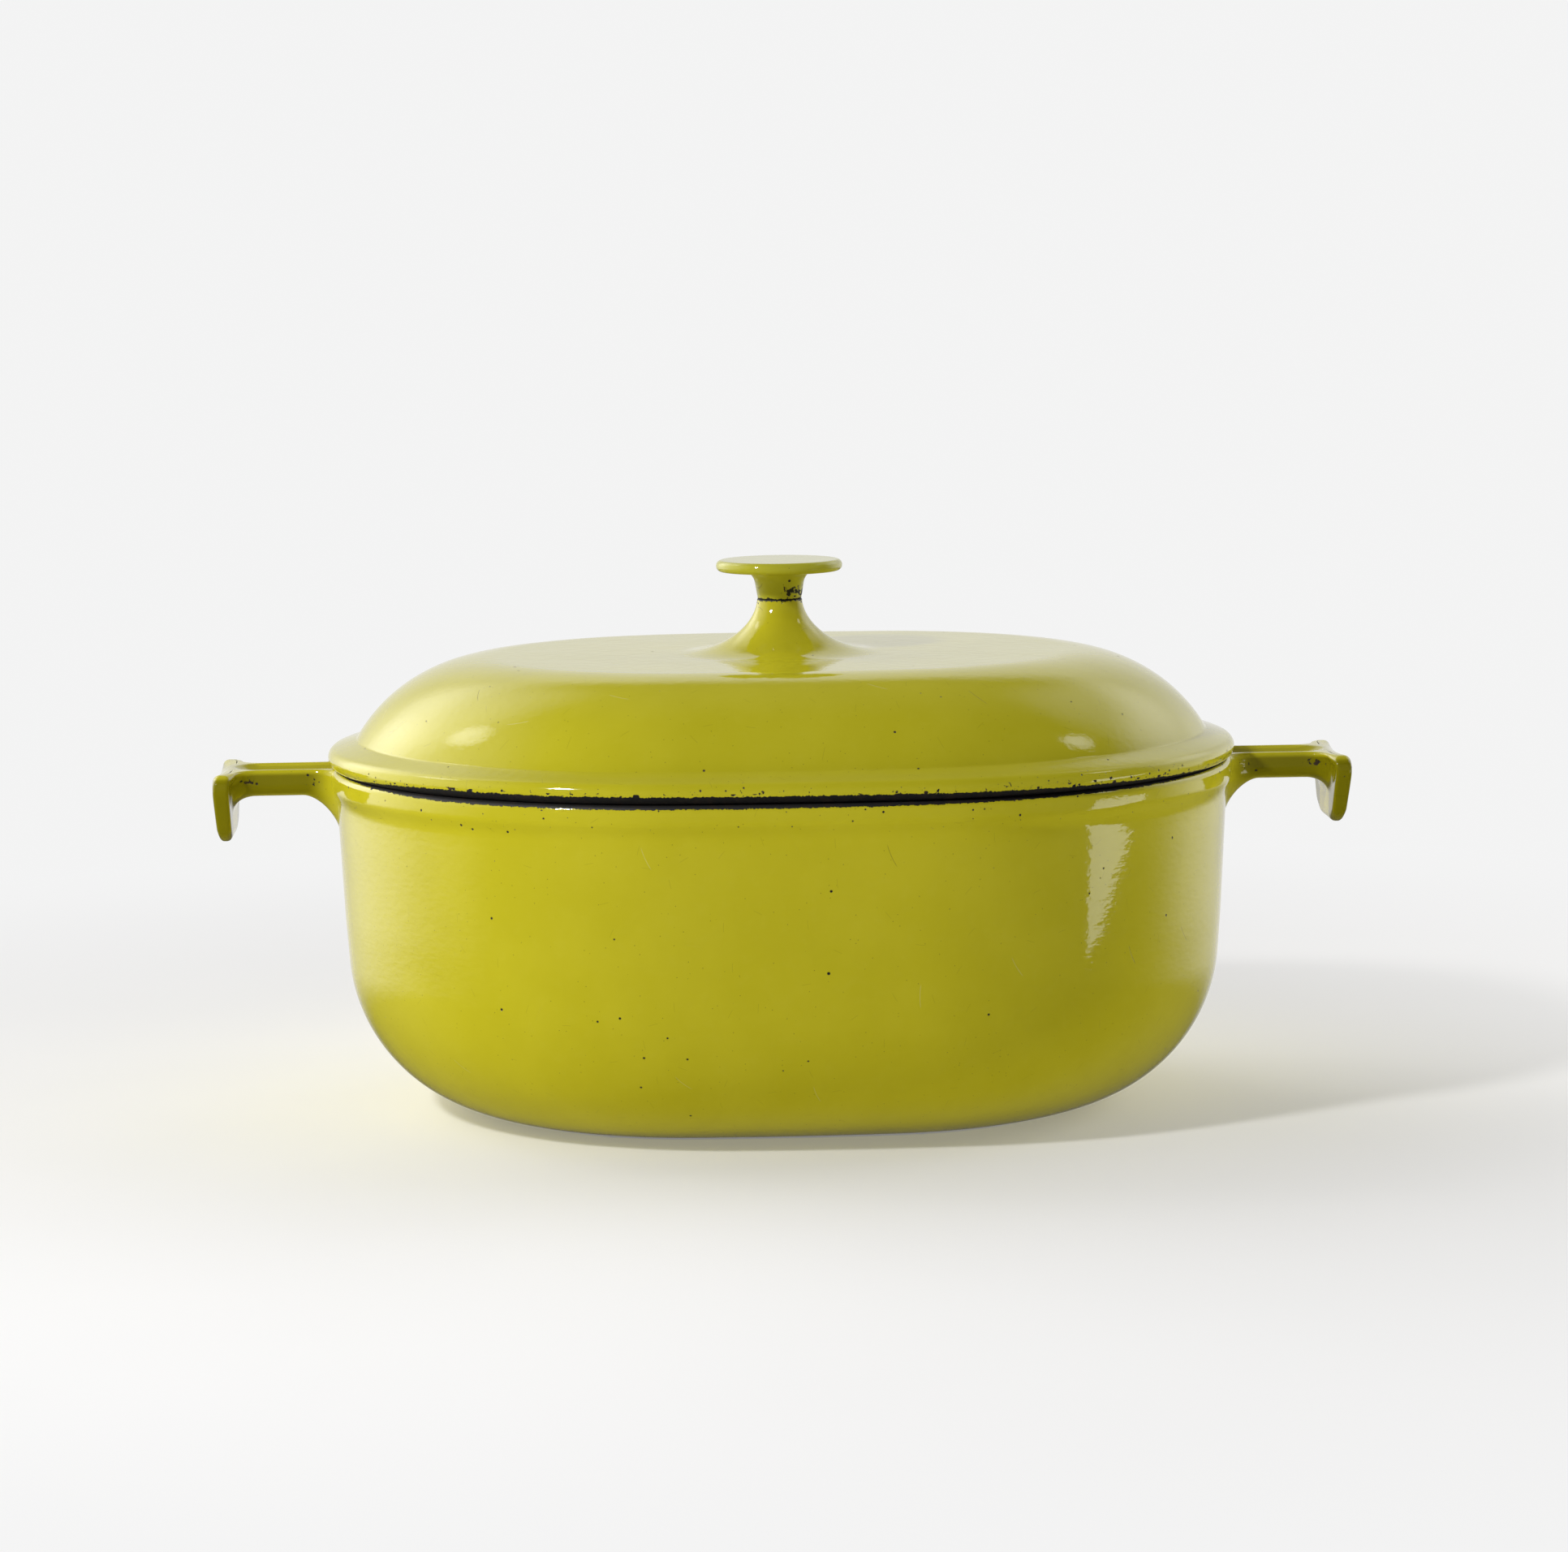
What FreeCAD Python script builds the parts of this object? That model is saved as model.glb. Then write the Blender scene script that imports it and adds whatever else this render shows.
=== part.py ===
"""Covered oval casserole in enamelled cast iron: pot, lid, knob and the knob's fastening.

Millimetres, +Z up, +X along the length. The origin is the centre of the flat base.
Both castings follow one four-arc oval, and every profile point is given by its
inset from that oval and its height.
"""

import FreeCAD
import Part
import math
import os

# Plan of the lid's outer edge, which all other insets are measured from.
half_length = 153.0
half_width = 125.0
side_radius = 538.0

# Heights above the surface the pot stands on.
rim_height = 116.7
plateau_height = rim_height + 36.0
seam_height = rim_height + 54.0
knob_top = rim_height + 67.2

# Pot.
wall_thickness = 4.0
floor_thickness = 4.6
draft = 3.25
wall_inset = 3.2
base_corner = 55.0
band_height = 8.0
band_inset = 0.5
rim_width = 7.5
core_inset = 75.0

# Lid.
lid_thickness = 3.8
bead_radius = 3.5
crease_inset = 9.6
crease_rise = 9.3
dome_slope = 59.0
skirt_gap = 1.0
skirt_depth = 5.0
skirt_width = 4.0

# Pedestal, cast in one with the lid: a quarter ellipse that runs out flat into the plateau.
pedestal_reach = 35.5
pedestal_run = 28.0
pedestal_rise = 19.0
pedestal_roof = 7.5

# Handles, cast in one with the pot.
handle_tip = 190.3
arm_top = rim_height - 0.2
arm_thickness = 8.5
arm_half_width = 11.0
bar_half_width = 26.5
bar_thickness = 7.4
lip_thickness = 5.4
lip_lean = 1.2
lip_drop = 15.4
lip_half_width = 14.0
root_half_width = 17.5
trough_half_width = 8.0
trough_depth = 2.8
trough_end = handle_tip - 5.5

# Knob and its M6 fastening.
knob_radius = 21.3
knob_disc = 3.8
neck_bottom = 7.35
neck_top = 9.0
thread_radius = 3.0
thread_clearance = 0.05
screw_hole = 3.4
thread_depth = 9.5
screw_engagement = 8.5
flat_washer_radius = 6.1
flat_washer_thickness = 1.2
lock_washer_radius = 5.5
lock_washer_thickness = 1.6
lock_washer_gap = 1.2
head_radius = 5.8
head_height = 4.0
slot_width = 1.6
slot_depth = 1.8

up = FreeCAD.Vector(0, 0, 1)
end_radius = (side_radius ** 2 - (side_radius - half_width) ** 2 - half_length ** 2) / (
    2 * (side_radius - half_length))
end_centre = half_length - end_radius
side_centre = side_radius - half_width
junction = math.degrees(math.atan2(side_centre, end_centre))
dome_height = plateau_height - rim_height - crease_rise
dome_radius = dome_height / (1 - math.cos(math.radians(dome_slope)))
dome_inset = crease_inset + dome_radius * math.sin(math.radians(dome_slope))


def oval_arcs():
    """The oval's four arcs, anticlockwise: centre, radius, first direction and turn in degrees."""
    return [
        (FreeCAD.Vector(end_centre, 0, 0), end_radius, -junction, 2 * junction),
        (FreeCAD.Vector(0, -side_centre, 0), side_radius, junction, 180 - 2 * junction),
        (FreeCAD.Vector(-end_centre, 0, 0), end_radius, 180 - junction, 2 * junction),
        (FreeCAD.Vector(0, side_centre, 0), side_radius, 180 + junction, 180 - 2 * junction),
    ]


def polar(centre, radius, degrees):
    angle = math.radians(degrees)
    return centre + FreeCAD.Vector(radius * math.cos(angle), radius * math.sin(angle), 0)


def oval_wire(inset):
    """The oval moved inwards by inset, at height zero."""
    edges = []
    for centre, radius, first, turn in oval_arcs():
        inner = radius - inset
        points = [polar(centre, inner, first + turn * step / 2) for step in range(3)]
        edges.append(Part.Arc(*points).toShape())
    return Part.Wire(edges)


def oval_prism(inset, bottom, top):
    """A flat slab with the oval's outline moved inwards by inset."""
    face = Part.Face(oval_wire(inset))
    face.translate(up * bottom)
    return face.extrude(up * (top - bottom))


def flat_wire(edges):
    return Part.Wire([edge.toShape() for edge in edges])


def rounded_wire(corners):
    """A closed wire in the XZ plane through corners (x, z, radius), each rounded by its radius."""
    points = [FreeCAD.Vector(x, 0, z) for x, z, radius in corners]
    count = len(points)
    stops = []
    arcs = []
    for index, point in enumerate(points):
        radius = corners[index][2]
        before = (points[index - 1] - point).normalize()
        after = (points[(index + 1) % count] - point).normalize()
        if radius == 0:
            stops.append((point, point))
            arcs.append(None)
            continue
        half_angle = before.getAngle(after) / 2
        reach = radius / math.tan(half_angle)
        centre = point + (before + after).normalize() * (radius / math.sin(half_angle))
        middle = centre + (point - centre).normalize() * radius
        stops.append((point + before * reach, point + after * reach))
        arcs.append(Part.Arc(point + before * reach, middle, point + after * reach))
    edges = []
    for index in range(count):
        if arcs[index]:
            edges.append(arcs[index])
        start = stops[index][1]
        end = stops[(index + 1) % count][0]
        if (end - start).Length > 1e-6:
            edges.append(Part.LineSegment(start, end))
    return flat_wire(edges)


def ring_around_oval(wire):
    """A profile wire, with inset as x and height as z, carried all round the oval."""
    sectors = []
    for centre, radius, first, turn in oval_arcs():
        face = Part.Face(wire)
        face = face.mirror(FreeCAD.Vector(0, 0, 0), FreeCAD.Vector(1, 0, 0))
        face.translate(centre + FreeCAD.Vector(radius, 0, 0))
        face.rotate(centre, up, first)
        sectors.append(face.revolve(centre, up, turn))
    return sectors[0].multiFuse(sectors[1:])


def turned(wire):
    """A profile wire in the XZ plane, turned all round the Z axis."""
    return Part.Face(wire).revolve(FreeCAD.Vector(0, 0, 0), up, 360)


def washer(outer, inner, bottom, thickness):
    base = FreeCAD.Vector(0, 0, bottom)
    return Part.makeCylinder(outer, thickness, base).cut(Part.makeCylinder(inner, thickness, base))


def wall_foot():
    """Where the outer wall's slope would meet the base: its inset there."""
    return wall_inset + (rim_height - band_height) * math.tan(math.radians(draft))


def pot_shell():
    foot = wall_foot()
    band_foot = rim_height - band_height
    inner_radius = base_corner - wall_thickness
    profile = rounded_wire([
        (core_inset, 0, 0),
        (foot, 0, base_corner),
        (wall_inset, band_foot - 2, 5.0),
        (band_inset, band_foot + 1, 2.5),
        (band_inset, rim_height, 2.5),
        (band_inset + rim_width, rim_height, 1.0),
        (foot + wall_thickness, floor_thickness, inner_radius),
        (core_inset, floor_thickness, 0),
    ])
    return ring_around_oval(profile).fuse(oval_prism(core_inset, 0, floor_thickness))


def handle_side():
    """The handle seen from the side: root gusset, arm, rounded outer edge and hanging lip."""
    arm_bottom = arm_top - arm_thickness
    lip_bottom = arm_bottom - lip_drop
    root = half_length - 6.0
    return rounded_wire([
        (root, arm_top, 0),
        (handle_tip, arm_top, 6.5),
        (handle_tip, arm_bottom, 8.0),
        (handle_tip - lip_lean, lip_bottom, 2.6),
        (handle_tip - lip_thickness, lip_bottom, 1.4),
        (handle_tip - lip_thickness, arm_bottom, 6.0),
        (half_length - 3.6, arm_bottom, 9.0),
        (half_length - 4.4, arm_bottom - 20.0, 0),
        (root, arm_bottom - 20.0, 0),
    ])


def handle_plan():
    """The handle seen from above: flared root, narrow arm and wide cross bar."""
    bar_inside = handle_tip - bar_thickness
    outline = [(half_length - 6.0, root_half_width, 0), (half_length - 0.5, root_half_width - 1.0, 0),
               (half_length + 4.0, arm_half_width, 6.0), (bar_inside, arm_half_width, 7.5),
               (bar_inside, bar_half_width, 2.0), (handle_tip, bar_half_width, 4.5)]
    other_side = [(x, -y, radius) for x, y, radius in reversed(outline)]
    wire = rounded_wire(outline + other_side)
    wire.rotate(FreeCAD.Vector(0, 0, 0), FreeCAD.Vector(1, 0, 0), 90)
    return wire


def handle_end():
    """The handle seen from its end: a wide bar whose lower half narrows to a round tongue."""
    shoulder = arm_top - 0.6 * arm_thickness
    lip_bottom = arm_top - arm_thickness - lip_drop
    wire = rounded_wire([
        (-bar_half_width, arm_top, 1.5),
        (bar_half_width, arm_top, 1.5),
        (bar_half_width, shoulder, 5.0),
        (lip_half_width, lip_bottom, 9.0),
        (-lip_half_width, lip_bottom, 9.0),
        (-bar_half_width, shoulder, 5.0),
    ])
    wire.rotate(FreeCAD.Vector(0, 0, 0), up, 90)
    return wire


def handle_trough():
    """The scoop along the top of the arm, with a round end in the cross bar."""
    radius = (trough_half_width ** 2 + trough_depth ** 2) / (2 * trough_depth)
    start = FreeCAD.Vector(half_length + 0.8, 0, arm_top - trough_depth + radius)
    length = trough_end - trough_half_width - start.x
    scoop = Part.makeCylinder(radius, length, start, FreeCAD.Vector(1, 0, 0))
    round_end = Part.makeSphere(radius, start + FreeCAD.Vector(length, 0, 0))
    return scoop.fuse(round_end)


def right_handle():
    side = Part.Face(handle_side()).extrude(FreeCAD.Vector(0, 2 * bar_half_width + 4, 0))
    side.translate(FreeCAD.Vector(0, -bar_half_width - 2, 0))
    plan = Part.Face(handle_plan()).extrude(up * (2 * rim_height))
    end = Part.Face(handle_end()).extrude(FreeCAD.Vector(2 * half_length, 0, 0))
    return side.common(plan).common(end).cut(handle_trough())


def casserole_pot():
    """The pot, with both handles poured in one with it."""
    right = right_handle()
    left = right.copy()
    left.rotate(FreeCAD.Vector(0, 0, 0), up, 180)
    return pot_shell().fuse([right, left]).removeSplitter()


def dome_arc(thickness, first, last):
    """Part of the dome's section, moved inwards by thickness, between two slopes in degrees."""
    centre = FreeCAD.Vector(dome_inset, 0, plateau_height - dome_radius)
    points = []
    for step in range(3):
        angle = math.radians(first + (last - first) * step / 2)
        reach = dome_radius - thickness
        points.append(centre + FreeCAD.Vector(-reach * math.sin(angle), 0, reach * math.cos(angle)))
    return Part.Arc(*points)


def lid_ring():
    """The lid outside the plateau: dome, crease, bead, seat and locating skirt."""
    skirt_outer = band_inset + rim_width + skirt_gap
    skirt_inner = skirt_outer + skirt_width
    inner_slope = math.degrees(math.asin((dome_inset - skirt_inner) / (dome_radius - lid_thickness)))
    outside = dome_arc(0, 0, dome_slope)
    inside = dome_arc(lid_thickness, inner_slope, 0)
    bead_middle = FreeCAD.Vector(bead_radius, 0, rim_height + bead_radius)
    bead = []
    for degrees in (108, 180, 270):
        angle = math.radians(degrees)
        offset = FreeCAD.Vector(math.cos(angle), 0, math.sin(angle)) * bead_radius
        bead.append(bead_middle + offset)
    corners = [bead[2]]
    for x, z in ((skirt_outer, 0), (skirt_outer, -skirt_depth), (skirt_inner, -skirt_depth)):
        corners.append(FreeCAD.Vector(x, 0, rim_height + z))
    corners.append(inside.StartPoint)
    edges = [outside, Part.LineSegment(outside.EndPoint, bead[0]), Part.Arc(*bead)]
    for start, end in zip(corners, corners[1:]):
        edges.append(Part.LineSegment(start, end))
    edges.append(inside)
    edges.append(Part.LineSegment(inside.EndPoint, outside.StartPoint))
    return ring_around_oval(flat_wire(edges))


def flare(thickness, top):
    """A quarter ellipse that leaves the plateau flat and turns upright, moved inwards by thickness."""
    run = pedestal_run + thickness
    rise = pedestal_rise + thickness
    middle = plateau_height + pedestal_rise
    last = math.acos((middle - top) / rise)
    steps = 12
    curve = []
    for step in range(steps + 1):
        angle = last * step / steps
        x = pedestal_reach - run * math.sin(angle)
        curve.append(FreeCAD.Vector(x, 0, middle - rise * math.cos(angle)))
    spline = Part.BSplineCurve()
    spline.interpolate(curve)
    return spline


def pedestal():
    outer = flare(0, seam_height)
    foot = FreeCAD.Vector(outer.StartPoint.x, 0, plateau_height - lid_thickness / 2)
    edges = [
        outer,
        Part.LineSegment(outer.EndPoint, FreeCAD.Vector(0, 0, seam_height)),
        Part.LineSegment(FreeCAD.Vector(0, 0, seam_height), FreeCAD.Vector(0, 0, foot.z)),
        Part.LineSegment(FreeCAD.Vector(0, 0, foot.z), foot),
        Part.LineSegment(foot, outer.StartPoint),
    ]
    return turned(flat_wire(edges))


def pedestal_hollow():
    """The hollow under the pedestal, with a flat roof that the screw's washer bears on."""
    roof = plateau_height + pedestal_roof
    inner = flare(lid_thickness, roof)
    below = plateau_height - lid_thickness - 1.0
    foot = FreeCAD.Vector(inner.StartPoint.x, 0, below)
    edges = [
        inner,
        Part.LineSegment(inner.EndPoint, FreeCAD.Vector(0, 0, roof)),
        Part.LineSegment(FreeCAD.Vector(0, 0, roof), FreeCAD.Vector(0, 0, below)),
        Part.LineSegment(FreeCAD.Vector(0, 0, below), foot),
        Part.LineSegment(foot, inner.StartPoint),
    ]
    return turned(flat_wire(edges))


def lid():
    """The lid, with its pedestal poured in one with it."""
    plateau = oval_prism(dome_inset, plateau_height - lid_thickness, plateau_height)
    body = lid_ring().fuse([plateau, pedestal()]).removeSplitter()
    hole = Part.makeCylinder(screw_hole, knob_top, FreeCAD.Vector(0, 0, 0))
    return body.cut(pedestal_hollow()).cut(hole)


def knob():
    """The disc knob and its tapered neck, with a blind threaded hole from beneath."""
    underside = knob_top - knob_disc
    body = turned(rounded_wire([
        (0, seam_height, 0),
        (neck_bottom, seam_height, 0.4),
        (neck_top, underside, 4.5),
        (knob_radius, underside, 1.7),
        (knob_radius, knob_top, 1.9),
        (0, knob_top, 0),
    ]))
    radius = thread_radius + thread_clearance
    return body.cut(Part.makeCylinder(radius, thread_depth, FreeCAD.Vector(0, 0, seam_height)))


def screw_washer():
    top = plateau_height + pedestal_roof
    return washer(flat_washer_radius, screw_hole - 0.2, top - flat_washer_thickness, flat_washer_thickness)


def lock_washer():
    """A spring washer, shown flat as it is when tight, with its split towards +Y."""
    bottom = plateau_height + pedestal_roof - flat_washer_thickness - lock_washer_thickness
    ring = washer(lock_washer_radius, screw_hole - 0.2, bottom, lock_washer_thickness)
    corner = FreeCAD.Vector(-lock_washer_gap / 2, 0, bottom)
    return ring.cut(Part.makeBox(lock_washer_gap, 2 * lock_washer_radius, lock_washer_thickness, corner))


def knob_screw():
    """A slotted pan head screw that comes up through the pedestal into the knob."""
    bearing = plateau_height + pedestal_roof - flat_washer_thickness - lock_washer_thickness
    head_bottom = bearing - head_height
    body = turned(rounded_wire([
        (0, head_bottom, 0),
        (head_radius, head_bottom, 2.2),
        (head_radius, bearing, 0),
        (thread_radius, bearing, 0),
        (thread_radius, seam_height + screw_engagement, 0.6),
        (0, seam_height + screw_engagement, 0),
    ]))
    corner = FreeCAD.Vector(-head_radius, -slot_width / 2, head_bottom)
    return body.cut(Part.makeBox(2 * head_radius, slot_width, slot_depth, corner))


def main():
    os.makedirs("parts", exist_ok=True)
    for make in (casserole_pot, lid, knob, screw_washer, lock_washer, knob_screw):
        shape = make()
        shape.exportStep("parts/" + make.__name__ + ".step")
        box = shape.optimalBoundingBox(True, False)
        print(make.__name__, "solids", len(shape.Solids), "valid", shape.isValid(),
              "volume", round(shape.Volume / 1000, 1), "cm3",
              "x", round(box.XMin, 1), round(box.XMax, 1),
              "y", round(box.YMin, 1), round(box.YMax, 1),
              "z", round(box.ZMin, 1), round(box.ZMax, 1))


main()
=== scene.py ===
import math

import bmesh
import bpy
import numpy as np
from mathutils import Matrix, Vector


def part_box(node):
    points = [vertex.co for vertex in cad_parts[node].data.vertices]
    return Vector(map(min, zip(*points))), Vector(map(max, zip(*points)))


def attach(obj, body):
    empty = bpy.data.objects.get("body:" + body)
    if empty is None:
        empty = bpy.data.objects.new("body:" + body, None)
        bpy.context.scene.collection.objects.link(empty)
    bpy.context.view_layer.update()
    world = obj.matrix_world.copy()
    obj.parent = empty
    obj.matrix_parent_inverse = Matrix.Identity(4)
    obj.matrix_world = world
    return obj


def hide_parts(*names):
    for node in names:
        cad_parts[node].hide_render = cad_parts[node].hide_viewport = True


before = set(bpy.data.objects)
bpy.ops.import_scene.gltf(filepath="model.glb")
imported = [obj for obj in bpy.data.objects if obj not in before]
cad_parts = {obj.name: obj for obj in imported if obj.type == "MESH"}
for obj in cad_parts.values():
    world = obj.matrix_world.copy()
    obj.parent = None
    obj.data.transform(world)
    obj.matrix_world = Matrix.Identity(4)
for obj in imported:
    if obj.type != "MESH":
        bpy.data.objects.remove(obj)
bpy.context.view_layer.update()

mm = 0.001               # shapes are worked out in millimetres, meshes are in metres
rightAngle = math.pi / 2


def cornersOf(node):
    # A CAD node's lowest and highest corner in millimetres.
    return [np.array(corner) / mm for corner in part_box(node)]


potLow, potHigh = cornersOf("casserole_pot")
lidLow, lidHigh = cornersOf("lid")
knobLow, knobHigh = cornersOf("knob")
rimHeight = potHigh[2]

# The plan of pot and lid: a four-arc oval that all insets are measured from.
oval = {
    "halfLength": lidHigh[0],
    "halfWidth": lidHigh[1],
    "sideRadius": 538.0,     # the two long, flat arcs
    "columns": 400,          # points round the oval
}
sideRadius = oval["sideRadius"]
sideCentre = sideRadius - oval["halfWidth"]
endRadius = ((sideRadius ** 2 - sideCentre ** 2 - oval["halfLength"] ** 2)
             / (2 * (sideRadius - oval["halfLength"])))
endCentre = oval["halfLength"] - endRadius


def ovalDirections(count):
    # Outward directions at even steps round the oval: an arc's length is its radius times its turn,
    # the lengths are added up, and each step's direction is read back from that sum.
    joint = math.atan2(sideCentre, endCentre)
    stops = np.array([0, joint, math.pi - joint, math.pi + joint, 2 * math.pi - joint, 2 * math.pi])
    radii = np.array([endRadius, sideRadius, endRadius, sideRadius, endRadius])
    lengths = np.append(0, np.cumsum(np.diff(stops) * radii))
    steps = np.arange(count) / count * lengths[-1]
    return np.interp(steps, lengths, stops), np.append(steps, lengths[-1])


directions, roundOval = ovalDirections(oval["columns"])


def ovalPoint(inset, direction):
    # A point of the oval is its arc's centre plus (arc radius - inset) times the outward direction.
    c, s = np.cos(direction), np.sin(direction)
    onEnd = np.abs(s) * endCentre < np.abs(c) * sideCentre
    radius = np.where(onEnd, endRadius, sideRadius) - inset
    x = np.where(onEnd, np.sign(c) * endCentre, 0) + radius * c
    y = np.where(onEnd, 0, -np.sign(s) * sideCentre) + radius * s
    return x, y


def ovalRows(profile):
    # Each profile point (inset, height) carried round the oval gives one row of the grid.
    x, y = ovalPoint(profile[:, :1], directions[None])
    return np.stack([x, y, profile[:, 1:] + 0 * x], axis=-1)


def mixed(a, b, share):
    # From a at share 0 to b at share 1 in a straight line.
    return a + (b - a) * share


def eased(low, high, value):
    # Rises from 0 at low to 1 at high along 3t^2 - 2t^3.
    t = np.clip((value - low) / (high - low), 0, 1)
    return t * t * (3 - 2 * t)


def roundedLine(corners, spacing=4.0, arcSpacing=2.2, arcTurn=0.16):
    # A line through (x, y, radius) corners, each rounded by an arc that leaves its sides at
    # radius * tan(turn / 2) from the corner. Longer straight stretches are divided evenly.
    corners = np.array(corners, float)
    places, radii = corners[:, :2], corners[:, 2]
    parts = [places[:1]]
    for before, corner, after, radius in zip(places, places[1:], places[2:], radii[1:]):
        into = (corner - before) / np.linalg.norm(corner - before)
        out = (after - corner) / np.linalg.norm(after - corner)
        turn = math.atan2(into[0] * out[1] - into[1] * out[0], into @ out)
        steps = max(2, math.ceil(abs(turn) * max(1 / arcTurn, radius / arcSpacing)))
        angles = np.linspace(0, abs(turn), steps + 1)[:, None]
        towards = np.array([-into[1], into[0]]) * np.sign(turn)
        start = corner - into * radius * math.tan(abs(turn) / 2)
        parts.append(start + radius * (np.sin(angles) * into + (1 - np.cos(angles)) * towards))
    parts.append(places[-1:])
    line = np.concatenate(parts)
    gaps = np.linalg.norm(np.diff(line, axis=0), axis=1)
    line = line[np.append(True, gaps > 1e-6)]
    gaps = np.linalg.norm(np.diff(line, axis=0), axis=1)
    counts = np.maximum(1, np.ceil(gaps / spacing - 1e-6)).astype(int)
    marks = np.concatenate([index + np.arange(count) / count for index, count in enumerate(counts)]
                           + [[len(line) - 1]])
    order = np.arange(len(line))
    return np.stack([np.interp(marks, order, line[:, axis]) for axis in (0, 1)], axis=-1)


def lengthsAlong(line):
    # The distance walked from the line's first point to each of its points.
    return np.append(0, np.cumsum(np.linalg.norm(np.diff(line, axis=0), axis=1)))


def handCast(points, amount, seed):
    # Moves points into the metal by amount times a slow wave between 0 and 1: the mean of sines of
    # the point's place in fixed random directions, along the cross product of the grid's two tangents.
    across = np.gradient(points, axis=0)
    around = np.roll(points, -1, axis=1) - np.roll(points, 1, axis=1)
    normal = np.cross(across, around)
    normal /= np.linalg.norm(normal, axis=-1, keepdims=True) + 1e-9
    chance = np.random.default_rng(seed)
    waves = chance.normal(size=(7, 3))
    waves *= (2 * math.pi / chance.uniform(22, 75, 7) / np.linalg.norm(waves, axis=1))[:, None]
    height = np.sin(points @ waves.T + chance.uniform(0, 2 * math.pi, 7)).mean(axis=-1)
    return points + normal * (amount * (0.5 + 0.5 * height))[..., None]


def gridPiece(name, points, values, around, along, closedRows=False):
    # One face for each cell of the grid of points. Columns close on themselves, rows only if asked.
    # Poles are merged, and the faces are turned round if the volume that they enclose is negative.
    rows, columns = points.shape[:2]
    number = np.arange(rows * columns).reshape(rows, columns)
    first = number if closedRows else number[:-1]
    second = np.roll(number, -1, axis=0)[:len(first)]
    faces = np.stack([first, np.roll(first, -1, 1), np.roll(second, -1, 1), second], -1).reshape(-1, 4)
    mesh = bpy.data.meshes.new(name)
    mesh.from_pydata(points.reshape(-1, 3) * mm, [], faces)
    for key, value in values.items():
        layer = mesh.attributes.new(key, "FLOAT", "POINT")
        layer.data.foreach_set("value", np.broadcast_to(value, (rows, columns)).astype(np.float32).ravel())
    u = np.stack([around[:-1], around[1:], around[1:], around[:-1]], -1)[None]
    v = np.stack([along[:len(first)], along[1:len(first) + 1]], -1)[:, None][..., [0, 0, 1, 1]]
    sheet = np.stack(np.broadcast_arrays(u, v), -1) * mm
    mesh.uv_layers.new(name="wrap").data.foreach_set("uv", sheet.astype(np.float32).ravel())
    shell = bmesh.new()
    shell.from_mesh(mesh)
    bmesh.ops.remove_doubles(shell, verts=shell.verts, dist=0.002 * mm)
    if shell.calc_volume(signed=True) < 0:
        bmesh.ops.reverse_faces(shell, faces=shell.faces)
    shell.to_mesh(mesh)
    shell.free()
    mesh.shade_smooth()
    piece = bpy.data.objects.new(name, mesh)
    bpy.context.scene.collection.objects.link(piece)
    print(name, len(mesh.polygons), "faces")
    return piece


# Where bare iron shows between lid and pot: wide along the front and back, narrow at the handles.
gap = {"potNarrow": 2.4, "potWide": 2.4, "lidNarrow": 1.4, "lidWide": 3.2, "rightLoss": 0.35}
gapShare = (eased(0.15, 0.8, np.abs(np.sin(directions)))
            * (1 - gap["rightLoss"] * eased(-0.2, 0.9, np.cos(directions))))

pot = {
    "wall": 4.0, "floor": 4.6,
    "draft": math.radians(3.58),
    "wallInset": 2.6,
    "baseCorner": 55.0,
    "bandHeight": 8.0, "bandInset": 0.5, "rimWidth": 7.5,
    "swell": 0.75,           # how far the wall bows out between base and band
    "swellRadius": 250.0,
    "underBand": 2.5, "underRadius": 9.0,       # the hollow fillet below the band
    "bandLedge": 1.6, "ledgeRadius": 5.0,       # and the band's rounded lower corner above it
    "coreInset": 75.0,
    "unevenness": 0.09,
    "footEdge": 0.5,         # enamel stops this high above the ground
    "bareInside": 4.0,       # and this far past the rim's middle on the inside
}


def coreRows(inset, height, count):
    # The flat middle of base or floor: the innermost ring shrunk evenly to a pole.
    ring = ovalRows(np.array([[inset, height]]))
    shares = (np.arange(count) / count)[:, None, None]
    return ring * [[[1, 1, 0]]] * shares + [[[0, 0, height]]]


def potProfile():
    # From the edge of the base's flat middle round the base corner, up the bowed wall and over band
    # and rim, then down the inner wall to the floor, as (inset, height). Insets grow inwards.
    bandFoot = rimHeight - pot["bandHeight"]
    foot = pot["wallInset"] + bandFoot * math.tan(pot["draft"])
    swellHeight = 0.6 * bandFoot
    swellInset = mixed(foot, pot["wallInset"], 0.6) - pot["swell"]
    return roundedLine([
        (pot["coreInset"], 0, 0),
        (foot, 0, pot["baseCorner"]),
        (swellInset, swellHeight, pot["swellRadius"]),
        (pot["wallInset"], bandFoot - pot["underBand"], pot["underRadius"]),
        (pot["bandInset"], bandFoot + pot["bandLedge"], pot["ledgeRadius"]),
        (pot["bandInset"], rimHeight, 2.5),
        (pot["bandInset"] + pot["rimWidth"], rimHeight, 1),
        (foot + pot["wall"], pot["floor"], pot["baseCorner"] - pot["wall"]),
        (pot["coreInset"], pot["floor"], 0),
    ])


outerProfile = potProfile()


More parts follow.
